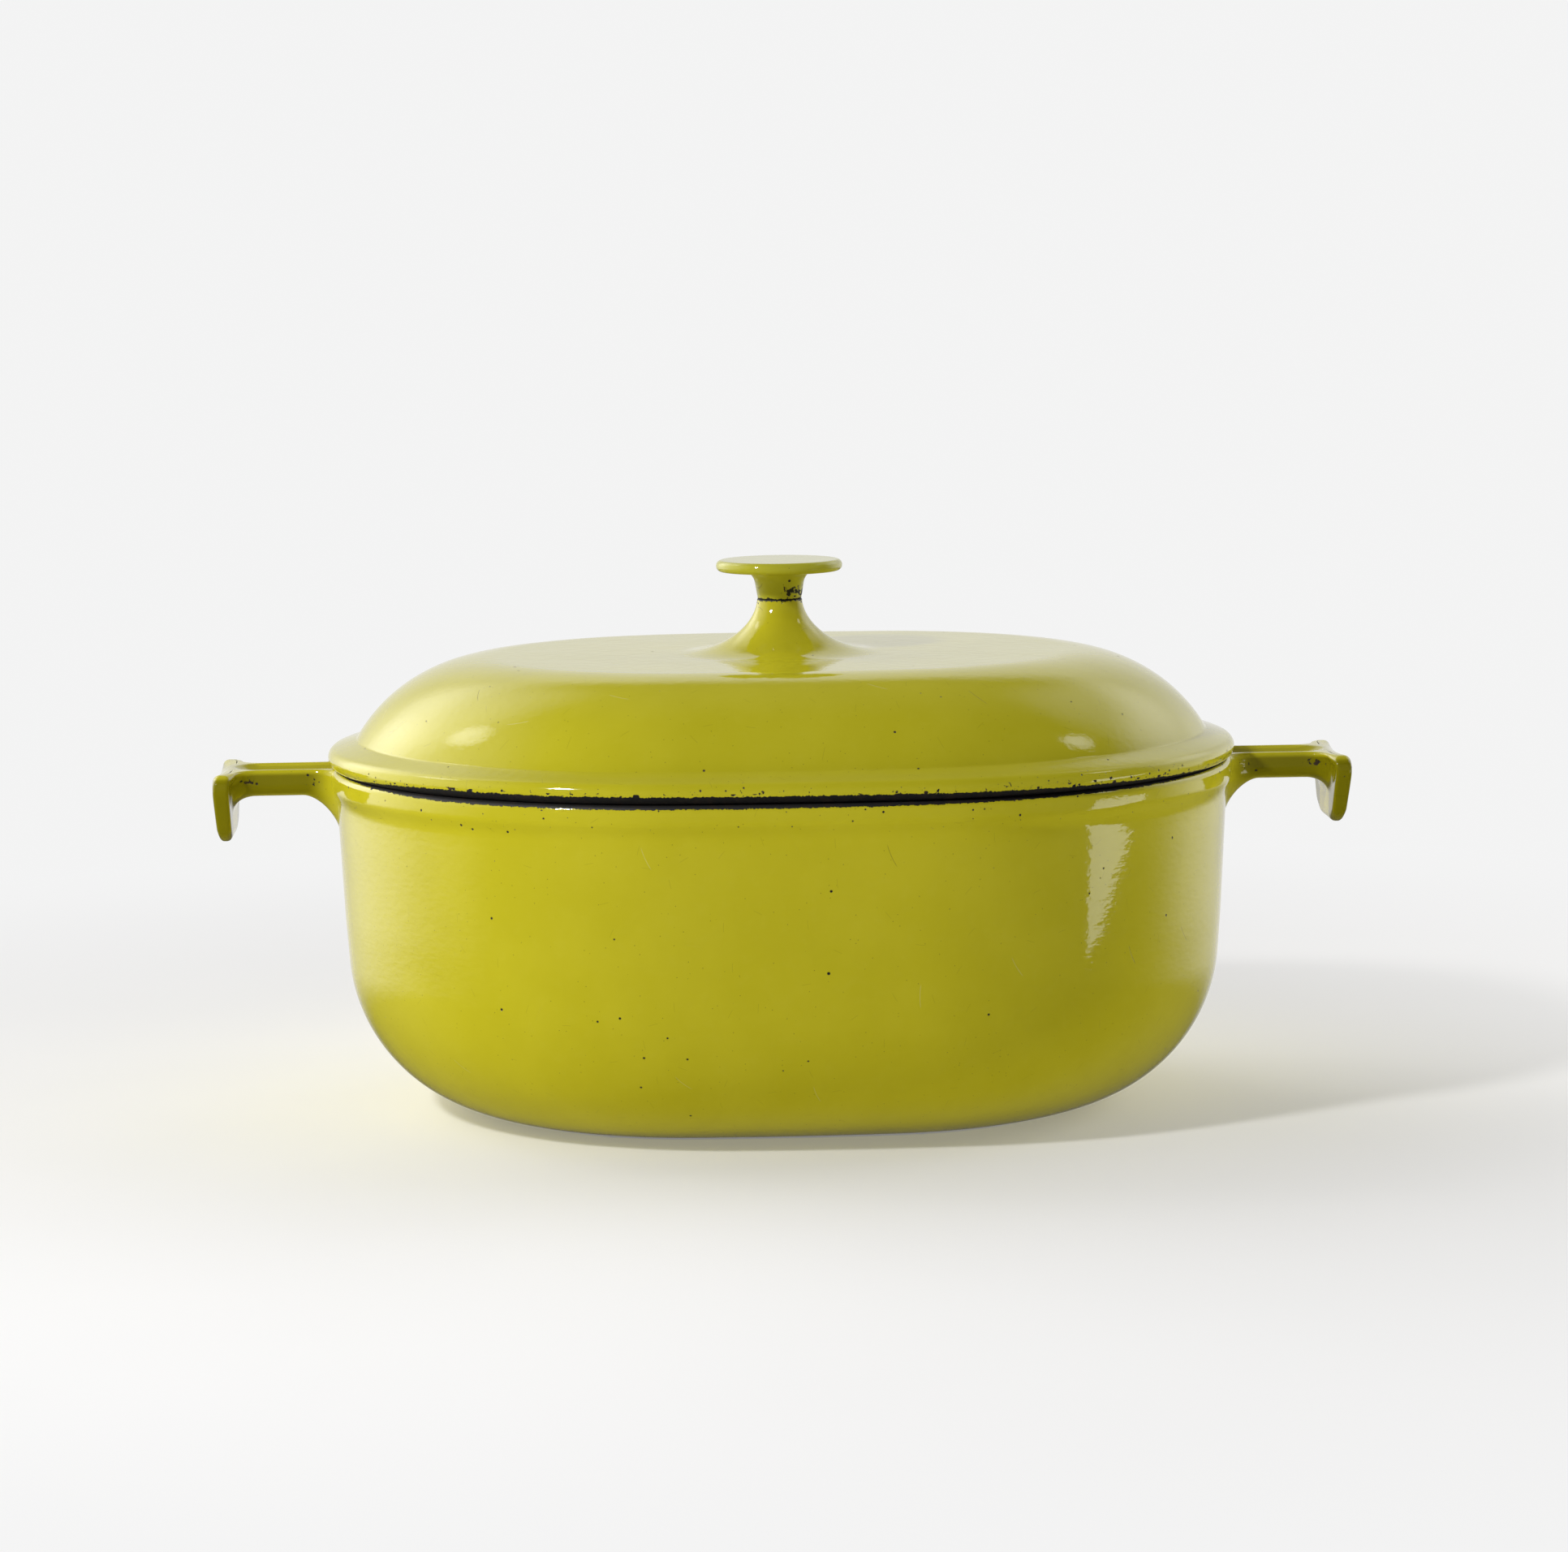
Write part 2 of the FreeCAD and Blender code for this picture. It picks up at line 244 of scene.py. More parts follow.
def makePot():
    # Base, outer wall, band, rim, inner wall and floor in one closed surface.
    profile = outerProfile
    length = lengthsAlong(profile)
    core = 8
    points = np.concatenate([coreRows(pot["coreInset"], 0, core), ovalRows(profile),
                             coreRows(pot["coreInset"], pot["floor"], core)[::-1]])
    onRim = profile[:, 1] > rimHeight - 1e-3
    rimMiddle = length[onRim].mean()
    outer = length < rimMiddle
    bandFoot = rimHeight - pot["bandHeight"]
    steady = eased(3, 30, profile[:, 1]) * eased(0, 2, rimHeight - 2 - profile[:, 1])
    enamelFoot = np.interp(pot["footEdge"], profile[outer, 1], length[outer])
    blackOutside = gap["potNarrow"] + gap["potWide"] * gapShare
    fromRim = np.where(outer[:, None], rimMiddle - length[:, None] - blackOutside[None],
                       length[:, None] - rimMiddle - pot["bareInside"])
    enamel = np.where(outer[:, None], np.minimum(fromRim, length[:, None] - enamelFoot), fromRim)
    pad = np.ones((core, 1))
    enamel = np.concatenate([-20 * pad + 0 * enamel[:core], enamel, 20 * pad + 0 * enamel[:core]])
    inside = np.concatenate([0 * pad, (length > rimMiddle)[:, None] * 1.0, pad])
    nearCrease = np.exp(-((profile[:, 1] - bandFoot) / 2.0) ** 2) * outer
    nearRim = np.exp(-((rimMiddle - length - 5) / 2.0) ** 2)
    wear = np.concatenate([0 * pad[:, 0], 0.5 * nearCrease + 0.3 * nearRim, 0 * pad[:, 0]])[:, None]
    uneven = np.concatenate([0 * pad[:, 0], steady, 0 * pad[:, 0]])[:, None] * pot["unevenness"]
    along = np.concatenate([np.linspace(-50, 0, core, endpoint=False), length,
                            length[-1] + np.linspace(0, 50, core + 1)[1:]])
    return gridPiece("potBody", handCast(points, uneven + 0 * points[..., 0], 3),
                     {"enamel": enamel, "inside": inside, "wear": wear}, roundOval, along)


def wallInsetAt(height):
    # The outer wall's inset, read off the profile between its base and its highest point.
    outside = outerProfile[:np.argmax(outerProfile[:, 1]) + 1]
    return np.interp(height, outside[:, 1], outside[:, 0])


def wallX(y, height):
    # How far out the pot's end wall is at a place across it: the end arc solved for x.
    radius = endRadius - wallInsetAt(height)
    return endCentre + np.sqrt(np.maximum(radius ** 2 - y ** 2, 0))


handle = {
    "tip": potHigh[0],
    "top": rimHeight,
    "armHalf": 11.6, "armDepth": 9.0, "belly": 4.0,
    "barHalf": 26.5, "barCorner": 4.2, "barThickness": 7.4,
    "lipThickness": 5.4, "lipLean": 0.5,
    "shoulder": 6.0, "lipHalf": 15.0, "lipRound": 10.5, "lipDrop": 23.9,
    "innerEdge": 1.3, "outerEdge": 1.5, "crownEdge": 5.7, "lipEdge": 3.0, "wingEdge": 3.6,
    "barFillet": 7.5, "underFillet": 6.0,
    "rootSide": 6.0, "rootUnder": 15.0, "rootReach": 9.0,
    "troughHalf": 9.6, "troughDepth": 2.8, "troughStop": 5.5,
    "sink": 0.6,
}


def handleColumns():
    # Half of the arm's section from the middle of its top, over the edge and down to the middle of
    # its underside, with the matching points and outward directions of the cross bar's outline.
    h = handle
    top, corner, side, belly, under = 18, 7, 7, 8, 9
    share = np.linspace(0, 1, top, endpoint=False)
    cornerTurn = np.linspace(rightAngle, 0, corner, endpoint=False)
    sideShare = np.linspace(0, 1, side, endpoint=False)
    bellyTurn = np.linspace(0, -rightAngle, belly, endpoint=False)
    underShare = np.linspace(0, 1, under)
    edge, bellyRound = h["innerEdge"], h["belly"]
    low = -h["armDepth"]
    turn = np.concatenate([np.full(top, rightAngle), cornerTurn, np.zeros(side), bellyTurn,
                           np.full(under, -rightAngle)])
    y = np.concatenate([share * (h["armHalf"] - edge),
                        h["armHalf"] - edge + edge * np.cos(cornerTurn),
                        np.full(side, h["armHalf"]),
                        h["armHalf"] - bellyRound + bellyRound * np.cos(bellyTurn),
                        (1 - underShare) * (h["armHalf"] - bellyRound)])
    z = np.concatenate([np.zeros(top), edge * (np.sin(cornerTurn) - 1),
                        mixed(-edge, low + bellyRound, sideShare),
                        low + bellyRound + bellyRound * np.sin(bellyTurn), np.full(under, low)])
    flat = h["barHalf"] - h["barCorner"]
    lower = roundedLine([(h["barHalf"], -h["barCorner"], 0), (h["barHalf"], -h["shoulder"], 5),
                         (h["lipHalf"], -h["lipDrop"], h["lipRound"]), (0, -h["lipDrop"], 0)], 0.5, 0.5)
    length = lengthsAlong(lower)
    marks = np.linspace(0, length[-1], side + belly + under)
    lowerY, lowerZ = (np.interp(marks, length, lower[:, axis]) for axis in (0, 1))
    slope = np.gradient(lower, length, axis=0)
    slopeY, slopeZ = (np.interp(marks, length, slope[:, axis]) for axis in (0, 1))
    outlineY = np.concatenate([share * flat, flat + h["barCorner"] * np.cos(cornerTurn), lowerY])
    outlineZ = np.concatenate([np.zeros(top), h["barCorner"] * (np.sin(cornerTurn) - 1), lowerZ])
    outY = np.concatenate([np.zeros(top), np.cos(cornerTurn), -slopeZ])
    outZ = np.concatenate([np.ones(top), np.sin(cornerTurn), slopeY])
    onTop = np.arange(len(turn)) < top
    onCorner = (np.arange(len(turn)) >= top) & (np.arange(len(turn)) < top + corner)
    return {"turn": turn, "y": y, "z": z, "outlineY": outlineY, "outlineZ": outlineZ, "outY": outY,
            "outZ": outZ, "onTop": onTop, "onCorner": onCorner,
            "share": np.concatenate([share, np.ones(len(turn) - top)])}


def handleFlare(col, turn, wallAt, reach, side, under, sign):
    # The section flared by a quarter turn onto a wall: at angle a a point stands reach * (1 - sin a)
    # off the wall and has moved out by spread * (1 - cos a). Over the top only the sides spread.
    h = handle
    down = np.abs(np.minimum(np.sin(col["turn"]), 0)) ** 1.5
    spread, stand = mixed(side, under, down), mixed(side, reach, down)
    a = turn[:, None]
    x = stand * (1 - np.sin(a))
    y = col["y"] + spread * (1 - np.cos(a)) * np.cos(col["turn"])
    z = col["z"] + spread * (1 - np.cos(a)) * np.sin(col["turn"])
    depth = h["innerEdge"] * (1 - np.cos(col["turn"]))
    cornerX = side - (side + depth) * np.sin(a)
    cornerY = h["armHalf"] + side - (side + depth) * np.cos(a)
    x = np.where(col["onCorner"], cornerX, x)
    y = np.where(col["onCorner"], cornerY, y)
    topX = side - (side + h["innerEdge"]) * np.sin(a)
    topY = h["armHalf"] + side - (side + h["innerEdge"]) * np.cos(a)
    x = np.where(col["onTop"], topX, x)
    y = np.where(col["onTop"], topY * col["share"], y)
    z = np.where(col["onTop"] | col["onCorner"], col["z"], z)
    return np.stack([wallAt + sign * x, y, z], -1)


def rightHandle():
    # Rows run from a cap inside the pot's wall, along the arm, out over the inner face of the cross
    # bar, round its edge and in over its outer face to a pole. Heights are below the arm's top.
    h = handle
    col = handleColumns()
    barIn, barOut = h["tip"] - h["barThickness"], h["tip"]
    wall = wallX(0, rimHeight - 4)
    turns = np.linspace(rightAngle, 0, 16)
    root = handleFlare(col, turns, wall, h["rootReach"], h["rootSide"], h["rootUnder"], 1)
    onWall = np.sin(turns)[:, None] ** 2
    realWall = wallX(root[..., 1], h["top"] + root[..., 2])
    root[..., 0] += (realWall - wall - h["sink"]) * onWall
    bar = handleFlare(col, turns[::-1], barIn, h["underFillet"], h["barFillet"], h["underFillet"], -1)
    arm = mixed(root[-1], bar[0], (np.arange(1, 12) / 12)[:, None, None])

    onLip = eased(0.5, 0.95, -col["outZ"])
    edge = mixed(h["innerEdge"], h["lipEdge"], onLip)
    edge = np.where(col["onCorner"], mixed(h["innerEdge"], h["wingEdge"], np.sin(col["turn"])), edge)
    edge = np.where(col["onTop"], mixed(h["innerEdge"], h["wingEdge"], col["share"] ** 2), edge)
    faceEnd = np.where(col["onCorner"], edge * (1 - np.sin(col["turn"])), np.where(col["onTop"], 0, edge))
    faceX = np.where(col["onTop"], barIn + edge,
                     np.where(col["onCorner"], barIn + edge * (1 - np.cos(col["turn"])), barIn))
    endY = col["outlineY"] - faceEnd * col["outY"]
    endZ = col["outlineZ"] - faceEnd * col["outZ"]
    steps = (np.arange(1, 11) / 10)[:, None]
    face = np.stack([mixed(bar[-1, :, 0], faceX, steps), mixed(bar[-1, :, 1], endY, steps),
                     mixed(bar[-1, :, 2], endZ, steps)], -1)

    crown = mixed(h["crownEdge"], mixed(2.4, h["outerEdge"], eased(1, -0.2, col["outZ"])), col["share"] ** 2)
    crown = mixed(crown, h["lipEdge"], onLip)
    startTurn = np.where(col["onTop"], rightAngle, np.where(col["onCorner"], col["turn"], 0))
    innerTurn = mixed(startTurn, rightAngle, (np.arange(1, 6) / 5)[:, None])
    innerX, innerIn = barIn + edge * (1 - np.cos(innerTurn)), edge * (1 - np.sin(innerTurn))
    flatX = mixed(barIn + edge, barOut - crown, (np.arange(1, 4) / 3)[:, None])
    outerTurn = np.linspace(0, rightAngle, 11)[1:, None]
    outerX, outerIn = barOut - crown * (1 - np.sin(outerTurn)), crown * (1 - np.cos(outerTurn))
    rimX = np.concatenate([innerX, flatX, outerX])
    rimIn = np.concatenate([innerIn, 0 * flatX, outerIn])
    rim = np.stack([rimX, col["outlineY"] - rimIn * col["outY"], col["outlineZ"] - rimIn * col["outZ"]], -1)

    advancing = len(face) + len(innerX) + len(flatX)
    target = mixed(barIn + edge, barOut - h["crownEdge"], (np.arange(1, advancing + 1) / advancing)[:, None])
    middle = (1 - col["share"] ** 4) * col["onTop"]
    faceAndRim = np.concatenate([face, rim])
    faceAndRim[:advancing, :, 0] = mixed(faceAndRim[:advancing, :, 0],
                                         np.minimum(target, barOut - crown), middle)
    shrink = (np.arange(11, -1, -1) / 12)[:, None, None]
    pole = np.array([barOut, 0, -0.5 * h["lipDrop"]])
    front = pole + (rim[-1] - pole) * shrink
    points = np.concatenate([root, arm, bar[1:], faceAndRim, front])

    # The bar thins downwards from its full thickness to the lip's, and its outer face leans in.
    x, y, z = points[..., 0], points[..., 1], points[..., 2]
    outward = np.clip((x - barIn) / h["barThickness"], 0, 1)
    inBar = eased(barIn - h["barFillet"], barIn, x)
    thinner = (h["barThickness"] - h["lipThickness"]) * eased(0, 4.5, -z) * (1 - outward)
    x += inBar * (thinner - h["lipLean"] * eased(6, h["lipDrop"], -z) * outward)

    # The scoop along the arm: depth falls off with the square of the distance from its middle line.
    stop = h["tip"] - h["troughStop"] - h["troughHalf"]
    distance = np.hypot(y, np.maximum(x - stop, 0)) / h["troughHalf"]
    z -= np.where(col["onTop"], h["troughDepth"] * np.clip(1 - distance ** 2, 0, 1) ** 1.15, 0)

    shares = (np.arange(8) / 8)[:, None]
    capY, capZ = points[0, :, 1] * shares, mixed(-8.0, points[0, :, 2], shares)
    cap = np.stack([wallX(capY, h["top"] + capZ) - h["sink"] - 0.9, capY, capZ], -1)
    points = np.concatenate([cap, points])
    points[..., 2] += h["top"]
    other = points[:, -2:0:-1] * [[[1, -1, 1]]]
    return np.concatenate([points, other], axis=1)


def makeHandle(name, side):
    # The left handle is the right one turned half way round.
    points = rightHandle()
    local = points.copy()
    points = points * [[[side, side, 1]]]
    x, y, z = local[..., 0], np.abs(local[..., 1]), local[..., 2] - handle["top"]
    inCorner = np.exp(-((x - handle["tip"] + 11) / 5) ** 2 - ((z + 3.6) / 1.6) ** 2) * (y > 8)
    onArmSide = np.exp(-((x - 159) / 6) ** 2 - ((z + 4) / 2.4) ** 2) * (y > 8)
    # Painted shade: darker towards dark olive on the arm's sides and underside below its top, and a little in
    # the trough on top, where shade falls.
    paintedShade = 0.85 * eased(0.4, 2.0, -z) * eased(150, 160, x) * eased(8, 11, y) + 0.3 * (y < 8) * (z > -5)
    armRow = 30              # a row of points round the middle of the arm
    around = lengthsAlong(np.append(local[armRow], local[armRow, :1], axis=0))
    along = lengthsAlong(local[:, 0])
    return gridPiece(name, points, {"enamel": 20.0, "inside": 0.0, "paintedShade": paintedShade,
                                    "wear": 1.5 * inCorner + 0.9 * onArmSide}, around, along)


lid = {
    "plateau": 36.0,         # heights are above the rim
    "thickness": 3.8,
    "slope": math.radians(59.0),
    "domeRadius": 54.2, "domeReach": 31.15,
    "creaseInset": 9.6, "creaseRise": 9.3, "creaseRadius": 1.3,
    "flange": 6.0,           # where the flange's slope would meet the outer edge
    "bead": 3.5,
    "skirtOutside": 9.0, "skirtInside": 13.0, "skirtDepth": 5.0,
    "pedestalReach": 35.5, "pedestalRun": 28.0, "pedestalRise": 19.0, "pedestalRoof": 7.5,
    "screwHole": 3.4,
    "unevenness": 0.09,
}


def lidProfile():
    # The oval part of the lid from the plateau's edge down over dome, crease, flange and bead, back
    # along seat and skirt, and up the inside to the plateau's underside.
    sin, cos = math.sin(lid["slope"]), math.cos(lid["slope"])
    domeInset = lid["creaseInset"] + lid["domeReach"] * (1 + cos)
    shoulder = domeInset - lid["domeReach"]
    inner = lid["thickness"]
    innerShoulder = shoulder + inner * math.tan(lid["slope"] / 2)
    innerFoot = lid["plateau"] - inner - (innerShoulder - lid["skirtInside"]) * sin / cos
    profile = roundedLine([
        (domeInset, lid["plateau"], 0),
        (shoulder, lid["plateau"], lid["domeRadius"]),
        (lid["creaseInset"], lid["creaseRise"], lid["creaseRadius"]),
        (0, lid["flange"], lid["bead"] - 0.01),
        (0, 0, lid["bead"] - 0.01),
        (lid["skirtOutside"], 0, 0.6),
        (lid["skirtOutside"], -lid["skirtDepth"], 0.8),
        (lid["skirtInside"], -lid["skirtDepth"], 0.8),
        (lid["skirtInside"], innerFoot, 6),
        (innerShoulder, lid["plateau"] - inner, lid["domeRadius"] - inner),
        (domeInset, lid["plateau"] - inner, 0),
    ], 3.2, 2.0)
    return profile + [0, rimHeight]


def flareCurve(thickness, top, count):
    # A quarter ellipse that leaves the plateau flat and turns upright, as (radius, height).
    run, rise = lid["pedestalRun"] + thickness, lid["pedestalRise"] + thickness
    middle = lid["plateau"] + lid["pedestalRise"]
    angle = np.linspace(0, math.acos((middle - top) / rise), count)
    return np.stack([lid["pedestalReach"] - run * np.sin(angle), middle - rise * np.cos(angle)], -1)


def makeLid():
    # The oval part, the plateau between oval and pedestal, the pedestal and the hollow beneath it.
    # Circular rows stand at the polar angle of the oval's points, so that columns stay straight.
    profile = lidProfile()
    ovalPart = ovalRows(profile)
    angle = np.arctan2(ovalPart[0, :, 1], ovalPart[0, :, 0])
    seat = knobLow[2] - rimHeight
    roof = lid["plateau"] + lid["pedestalRoof"]
    outside = flareCurve(0, seat - 0.4, 26)
    hollow = flareCurve(lid["thickness"], roof, 16)
    inner = roundedLine([(*hollow[-1], 0), (hollow[-1, 0], roof + 0.01, 0.0), (lid["screwHole"], roof, 0.4),
                         (lid["screwHole"], seat, 0.4), (outside[-1, 0] - 0.1, seat, 0.3),
                         (*outside[-1], 0)], 2.5, 0.3)
    circles = np.concatenate([hollow[:-1], inner, outside[-2::-1]]) + [0, rimHeight]
    ring = np.stack([np.cos(angle), np.sin(angle), 0 * angle], -1)[None]
    circleRows = ring * circles[:, :1, None] + circles[:, 1:, None] * [[[0, 0, 1]]]
    shares = (np.arange(1, 10) / 10)[:, None, None]
    below = mixed(ovalPart[-1], circleRows[0], shares)
    above = mixed(circleRows[-1], ovalPart[0], shares)
    points = np.concatenate([ovalPart, below, circleRows, above])

    length = lengthsAlong(profile)
    height = profile[:, 1] - rimHeight
    beadFoot = length[np.argmax((height < 0.02) & (profile[:, 0] < 5))]
    skirtEnd = length[np.nonzero(height < -lid["skirtDepth"] + 0.9)[0][-1]]
    black = gap["lidNarrow"] + gap["lidWide"] * gapShare
    enamel = np.where((length < beadFoot + 3)[:, None], beadFoot - length[:, None] - black[None],
                      length[:, None] - skirtEnd)
    toSeat = np.abs(circleRows[:, :1, 2] - rimHeight - seat) - 0.45
    onStem = (circles[:, 0] < outside[-1, 0] + 2) & (circles[:, 1] > rimHeight + roof + 1)
    stem = np.where(onStem[:, None], toSeat, 20.0) + 0 * circleRows[..., 0]
    enamel = np.concatenate([enamel, 20 + 0 * below[..., 0], stem, 20 + 0 * above[..., 0]])
    beyond = np.concatenate([(length > beadFoot + 3) * 1.0, np.ones(len(below)),
                             (np.arange(len(circles)) < len(hollow) + len(inner) / 2) * 1.0,
                             np.zeros(len(above))])[:, None]
    nearBead = np.concatenate([np.exp(-((beadFoot - length - 5) / 2.5) ** 2), 0 * below[:, 0, 0],
                               np.exp(-((circles[:, 1] - rimHeight - seat + 1) / 2) ** 2) * 0.6,
                               0 * above[:, 0, 0]])[:, None]
    quiet = np.concatenate([eased(8, 16, height) * (length < beadFoot), 0 * below[:, 0, 0],
                            0 * circles[:, 0], 1 + 0 * above[:, 0, 0]])[:, None]
    along = np.concatenate([length, length[-1] + np.cumsum(np.ones(len(points) - len(profile) + 1) * 3)])
    points = handCast(points, quiet * lid["unevenness"] + 0 * points[..., 0], 8)
    return gridPiece("lidBody", points, {"enamel": enamel, "inside": beyond, "wear": 0.8 * nearBead},
                     roundOval, along, closedRows=True)


knob = {
    "radius": knobHigh[0],
    "disc": 3.8,
    "neckFoot": 7.35, "neckTop": 9.0, "neckFillet": 4.5,
    "lowerEdge": 1.7, "upperEdge": 1.9,
    "threadRadius": 3.05, "threadDepth": 9.5,
    "columns": 160,
}


def makeKnob():
    # The disc and its tapered neck turned round the upright axis, with the blind hole for the screw.
    seat, top = knobLow[2], knobHigh[2]
    underside = top - knob["disc"]
    profile = roundedLine([
        (0, seat + knob["threadDepth"], 0),
        (knob["threadRadius"], seat + knob["threadDepth"], 0.2),
        (knob["threadRadius"], seat, 0.3),
        (knob["neckFoot"], seat, 0.4),
        (knob["neckTop"], underside, knob["neckFillet"]),
        (knob["radius"], underside, knob["lowerEdge"]),
        (knob["radius"], top, knob["upperEdge"]),
        (0, top, 0),
    ], 1.6, 0.5, 0.12)
    angle = np.arange(knob["columns"]) / knob["columns"] * 2 * math.pi
    ring = np.stack([np.cos(angle), np.sin(angle), 0 * angle], -1)[None]
    points = ring * profile[:, :1, None] + profile[:, 1:, None] * [[[0, 0, 1]]]
    length = lengthsAlong(profile)
    outside = profile[:, 0] > knob["neckFoot"] - 0.5
    enamel = np.where(outside, profile[:, 1] - seat - 0.42, -1)[:, None]
    enamel = np.where((profile[:, 1] > underside - 1)[:, None] & (profile[:, :1] > 4), 20, enamel)
    enamel = np.where((profile[:, 1] > top - 0.1)[:, None], 20, enamel)
    towardsRight = (0.5 + 0.5 * np.cos(angle + 0.85)[None]) ** 3
    onNeck = np.exp(-((profile[:, 1] - seat - 2.6) / 3.2) ** 2)[:, None]
    around = np.append(angle, 2 * math.pi) * knob["radius"]
    return gridPiece("knobBody", points, {"enamel": enamel, "inside": 0.0,
                                          "wear": 1.6 * onNeck * towardsRight}, around, length)


potBody = makePot()
handleRight = makeHandle("handleRight", 1)
handleLeft = makeHandle("handleLeft", -1)
lidBody = makeLid()
knobBody = makeKnob()


class Wire:
    # One output of a shader node. Arithmetic on it adds Math nodes.
    def __init__(self, finish, socket):
        self.finish, self.socket = finish, socket

    def maths(self, operation, *others):
        return self.finish.add("ShaderNodeMath", {"operation": operation}, dict(enumerate(others)))

    def __add__(self, other): return self.maths("ADD", self, other)
    def __radd__(self, other): return self.maths("ADD", other, self)
    def __sub__(self, other): return self.maths("SUBTRACT", self, other)
    def __rsub__(self, other): return self.maths("SUBTRACT", other, self)
    def __mul__(self, other): return self.maths("MULTIPLY", self, other)
    def __rmul__(self, other): return self.maths("MULTIPLY", other, self)
    def __truediv__(self, other): return self.maths("DIVIDE", self, other)
    def __pow__(self, other): return self.maths("POWER", self, other)
    def __lt__(self, other): return self.maths("LESS_THAN", self, other)
    def __gt__(self, other): return self.maths("GREATER_THAN", self, other)
    def __abs__(self): return self.maths("ABSOLUTE", self)
    def cosine(self): return self.maths("COSINE", self)
    def sine(self): return self.maths("SINE", self)
    def most(self, other): return self.maths("MAXIMUM", self, other)

    def step(self, low, high):
        # 0 at low and 1 at high with a smooth rise; low may be the larger one.
        return self.finish.add("ShaderNodeMapRange", {"interpolation_type": "SMOOTHSTEP"},
                               {"Value": self, "From Min": low, "From Max": high})

    def output(self, name):
        return Wire(self.finish, self.socket.node.outputs[name])


class Finish:
    # One material being built round a Principled shader.
    def __init__(self, name):
        self.material = bpy.data.materials.new(name)
        self.material.use_nodes = True
        self.tree = self.material.node_tree
        self.tree.nodes.clear()
        place = self.add("ShaderNodeTexCoord", {}, {}, "Object")
        self.where = self.scaled(place, (1 / mm,) * 3)      # the point's place in millimetres

    def add(self, kind, settings, sockets, output=0):
        node = self.tree.nodes.new(kind)
        for key, value in settings.items():
            setattr(node, key, value)
        for key, value in sockets.items():
            if isinstance(value, Wire):
                self.tree.links.new(value.socket, node.inputs[key])
            elif isinstance(value, tuple) and len(value) == 3 and node.inputs[key].type == "RGBA":
                node.inputs[key].default_value = (*value, 1)
            else:
                node.inputs[key].default_value = value
        return Wire(self, node.outputs[output])

    def scaled(self, vector, factors):
        return self.add("ShaderNodeVectorMath", {"operation": "MULTIPLY"}, {0: vector, 1: factors})

    def noise(self, size, detail=2.0, stretch=(1, 1, 1), roughness=0.5):
        # Cloudy noise whose lumps are about size millimetres across, between 0 and 1.
        factors = tuple(1 / (size * s) for s in stretch)
        place = self.scaled(self.where, factors)
        return self.add("ShaderNodeTexNoise", {}, {"Vector": place, "Scale": 1.0, "Detail": detail,
                                                   "Roughness": roughness})

    def cells(self, size, vector=None, flat=False):
        # Scattered points about size millimetres apart, with the distance to the nearest of them.
        place = self.scaled(vector or self.where, (1 / size,) * 3)
        return self.add("ShaderNodeTexVoronoi", {"voronoi_dimensions": "2D" if flat else "3D"},
                        {"Vector": place, "Scale": 1.0}, "Distance"), place

    def split(self, vector):
        x = self.add("ShaderNodeSeparateXYZ", {}, {"Vector": vector}, "X")
        return x, x.output("Y"), x.output("Z")

    def attribute(self, name):
        return self.add("ShaderNodeAttribute", {"attribute_name": name}, {}, "Fac")

    def blend(self, share, a, b):
        return self.add("ShaderNodeMix", {"data_type": "RGBA"}, {0: share, 6: a, 7: b}, 2)

    def close(self, height, distance, shader):
        # Bump from a height in millimetres, then the Principled shader and the output.
        bump = self.add("ShaderNodeBump", {}, {"Height": height, "Strength": 1.0, "Distance": distance})
        body = self.add("ShaderNodeBsdfPrincipled", {}, {**shader, "Normal": bump})
        end = self.tree.nodes.new("ShaderNodeOutputMaterial")
        self.tree.links.new(body.socket, end.inputs["Surface"])
        return self.material


enamel = {
    "colour": (0.60, 0.537, 0.021),
    "thick": (0.575, 0.514, 0.017),       # where the glaze pooled
    "thin": (0.66, 0.60, 0.045),
    "lining": (0.74, 0.70, 0.58),         # the pale enamel inside
    "paintedShadeColour": (0.17, 0.150, 0.001),         # painted shade: the dark olive blended onto the handles' sides and undersides
    "iron": (0.011, 0.0105, 0.010),
    "rust": (0.060, 0.026, 0.010),
    "scuff": (0.85, 0.83, 0.5),           # the paler scratches
    "roughness": 0.065,
}


# Marks on the enamel. Spacings, lengths and widths are in millimetres. A spot fades from its inner to
# its outer distance, which are shares of the spacing before a random size scales them.
marks = {
    "dot": {"spacing": 1.9, "smallest": 0.4, "outer": 0.20, "inner": 0.14},
    "nibble": {"spacing": 2.3, "smallest": 0.5, "outer": 0.34, "inner": 0.29},
    "pit": {"spacing": 7.5, "smallest": 0.35, "outer": 0.056, "inner": 0.042, "share": 0.5},
    "speck": {"spacing": 2.2, "outer": 0.10, "inner": 0.05, "share": 0.5},
    "scratch": {"spacing": 40.0, "longest": 4.2, "width": 0.12},
    "fineScratch": {"spacing": 13.0, "longest": 1.8, "width": 0.08},
}


def spots(finish, about, share):
    # One round spot of random size in each cell whose random number is below share.
    distance, _ = finish.cells(about["spacing"])
    chance, size, _ = finish.split(distance.output("Color"))
    return (chance < share) * (distance / (about["smallest"] + size)).step(about["outer"], about["inner"])


